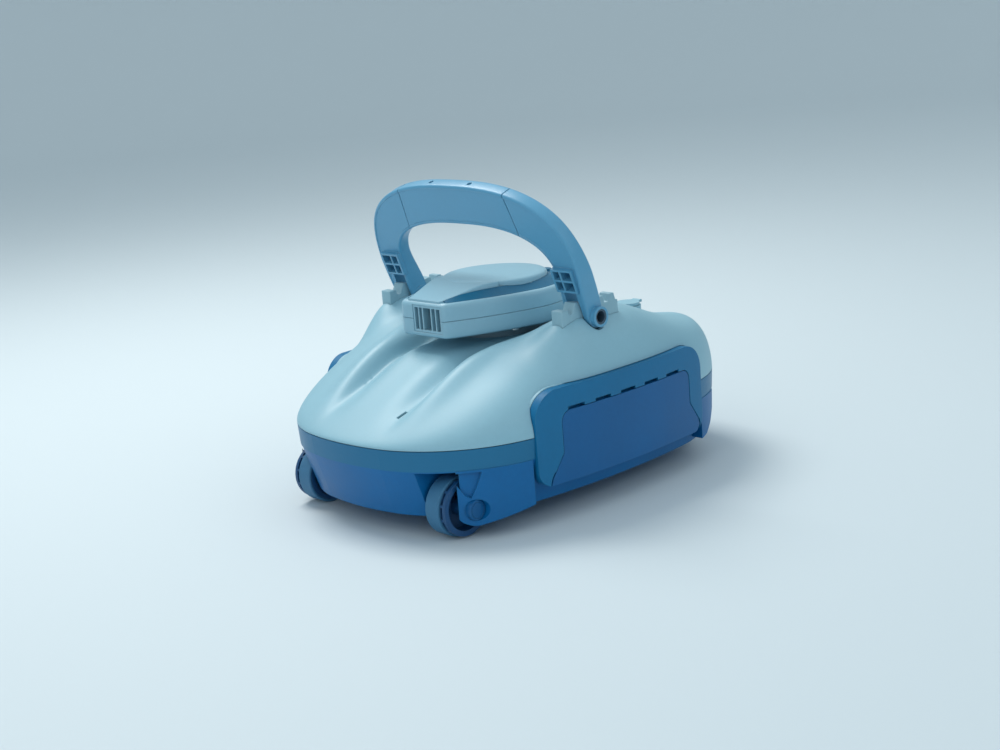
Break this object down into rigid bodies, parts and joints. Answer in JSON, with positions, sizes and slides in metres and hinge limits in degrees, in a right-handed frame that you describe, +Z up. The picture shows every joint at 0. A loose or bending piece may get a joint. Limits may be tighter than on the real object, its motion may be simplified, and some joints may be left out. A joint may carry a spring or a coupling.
{
  "type": "pool cleaner",
  "caption": "Cordless robotic pool cleaner: domed lift-off cover over a blue tray with wheels, side latch flaps, a pump head with a jet nozzle and an arched carry handle.",
  "frame": {"origin": "on the floor under the middle of the body", "axes": "+Z up, -Y towards the front wheels and the front nozzle, X across the body"},
  "size_m": [0.2816, 0.388, 0.27],
  "materials": {
    "cover_plastic": "fine satin moulding",
    "bracket_plastic": "satin",
    "head_plastic": "satin",
    "handle_plastic": "satin",
    "accent_plastic": "gloss",
    "blue_plastic": "satin",
    "navy_plastic": "satin",
    "wheel_plastic": "satin",
    "tread_rubber": "matte",
    "seal_rubber": "matte",
    "stainless": "brushed",
    "pivot_plastic": "satin",
    "inner_plastic": "satin",
    "filter_plastic": "satin",
    "mesh_cloth": "fine woven",
    "cell_wrap": "shrink film",
    "board": "solder mask"
  },
  "bodies": {
    "chassis": {"lower_housing": "blue_plastic", "rim_seal": "seal_rubber", "rear_axle": "stainless", "front_axle_right": "stainless", "front_axle_left": "stainless", "axle_cap_right": "blue_plastic", "axle_cap_left": "blue_plastic", "side_frame_right": "navy_plastic", "side_frame_left": "navy_plastic", "flap_hinge_pin_right": "stainless", "flap_hinge_pin_left": "stainless", "inlet_frame": "blue_plastic", "inlet_flap_pin": "stainless"},
    "cover": {"upper_housing": "cover_plastic", "handle_bracket_right": "bracket_plastic", "handle_bracket_left": "bracket_plastic", "handle_pivot_tube_right": "pivot_plastic", "handle_pivot_tube_left": "pivot_plastic", "head_lower_shell": "head_plastic", "head_upper_shell": "head_plastic", "head_screws": "stainless", "head_accent": "accent_plastic", "top_deck": "head_plastic", "front_nozzle_grille": "head_plastic", "rear_nozzle_grille": "head_plastic", "jet_duct": "inner_plastic", "flow_flap_pins": "stainless", "pump_column": "inner_plastic", "motor_can": "inner_plastic", "battery_case": "inner_plastic", "battery_cells": "cell_wrap", "circuit_board": "board", "charge_socket": "inner_plastic"},
    "handle": {"handle_grip": "handle_plastic", "handle_leg_right": "handle_plastic", "handle_leg_left": "handle_plastic", "handle_screws": "stainless"},
    "filter": {"filter_basket": "filter_plastic", "filter_mesh": "mesh_cloth"},
    "inlet_valve": {"inlet_flap": "seal_rubber"},
    "rotor": {"motor_shaft": "stainless", "impeller": "inner_plastic"},
    "front_jet_valve": {"front_flow_flap": "seal_rubber"},
    "rear_jet_valve": {"rear_flow_flap": "seal_rubber"},
    "button": {"power_button": "accent_plastic"},
    "charge_lid": {"charge_cap": "head_plastic"},
    "flap_right": {"side_flap_right": "navy_plastic"},
    "wheel_front_right": {"front_wheel_right": "wheel_plastic", "front_tyre_right": "tread_rubber"},
    "wheel_rear_right": {"rear_wheel_right": "wheel_plastic", "rear_tyre_right": "tread_rubber"},
    "flap_left": {"side_flap_left": "navy_plastic"},
    "wheel_front_left": {"front_wheel_left": "wheel_plastic", "front_tyre_left": "tread_rubber"},
    "wheel_rear_left": {"rear_wheel_left": "wheel_plastic", "rear_tyre_left": "tread_rubber"}
  },
  "joints": [
    {"name": "front_wheel_spin_right", "type": "hinge", "parent": "chassis", "child": "wheel_front_right", "pos_m": [0.086, -0.149, 0.025], "axis": [1, 0, 0], "continuous": true},
    {"name": "rear_wheel_spin_right", "type": "hinge", "parent": "chassis", "child": "wheel_rear_right", "pos_m": [0.047, 0.14, 0.02], "axis": [1, 0, 0], "continuous": true},
    {"name": "side_flap_hinge_right", "type": "hinge", "parent": "chassis", "child": "flap_right", "pos_m": [0.1315, 0, 0.037], "axis": [0, 1, 0], "range_deg": [0, 60]},
    {"name": "front_wheel_spin_left", "type": "hinge", "parent": "chassis", "child": "wheel_front_left", "pos_m": [-0.086, -0.149, 0.025], "axis": [1, 0, 0], "continuous": true},
    {"name": "rear_wheel_spin_left", "type": "hinge", "parent": "chassis", "child": "wheel_rear_left", "pos_m": [-0.047, 0.14, 0.02], "axis": [1, 0, 0], "continuous": true},
    {"name": "side_flap_hinge_left", "type": "hinge", "parent": "chassis", "child": "flap_left", "pos_m": [-0.1315, 0, 0.037], "axis": [0, -1, 0], "range_deg": [0, 60]},
    {"name": "cover_lift", "type": "slide", "parent": "chassis", "child": "cover", "axis": [0, 0, 1], "range_m": [0, 0.2]},
    {"name": "filter_lift", "type": "slide", "parent": "chassis", "child": "filter", "axis": [0, 0, 1], "range_m": [0, 0.09]},
    {"name": "inlet_valve_hinge", "type": "hinge", "parent": "chassis", "child": "inlet_valve", "pos_m": [0, 0.013, 0.0365], "axis": [-1, 0, 0], "range_deg": [0, 65]},
    {"name": "handle_pivot", "type": "hinge", "parent": "cover", "child": "handle", "pos_m": [0, -0.009, 0.155], "axis": [1, 0, 0], "range_deg": [-40, 0]},
    {"name": "rotor_spin", "type": "hinge", "parent": "cover", "child": "rotor", "pos_m": [0, -0.007, 0.13], "axis": [0, 0, 1], "continuous": true},
    {"name": "front_jet_valve_hinge", "type": "hinge", "parent": "cover", "child": "front_jet_valve", "pos_m": [0, -0.066, 0.166], "axis": [-1, 0, 0], "range_deg": [0, 50]},
    {"name": "rear_jet_valve_hinge", "type": "hinge", "parent": "cover", "child": "rear_jet_valve", "pos_m": [0, 0.042, 0.166], "axis": [1, 0, 0], "range_deg": [0, 50]},
    {"name": "button_press", "type": "slide", "parent": "cover", "child": "button", "axis": [0, 0, -1], "range_m": [0, 0.0015], "stiffness_N_per_m": 300, "springref_m": -0.001},
    {"name": "charge_lid_hinge", "type": "hinge", "parent": "cover", "child": "charge_lid", "pos_m": [0, 0.1765, 0.123], "axis": [-1, 0, 0], "range_deg": [0, 110]}
  ],
  "couplings": [
    {"joint": "filter_lift", "follows": "cover_lift", "ratio": 0.45}
  ]
}
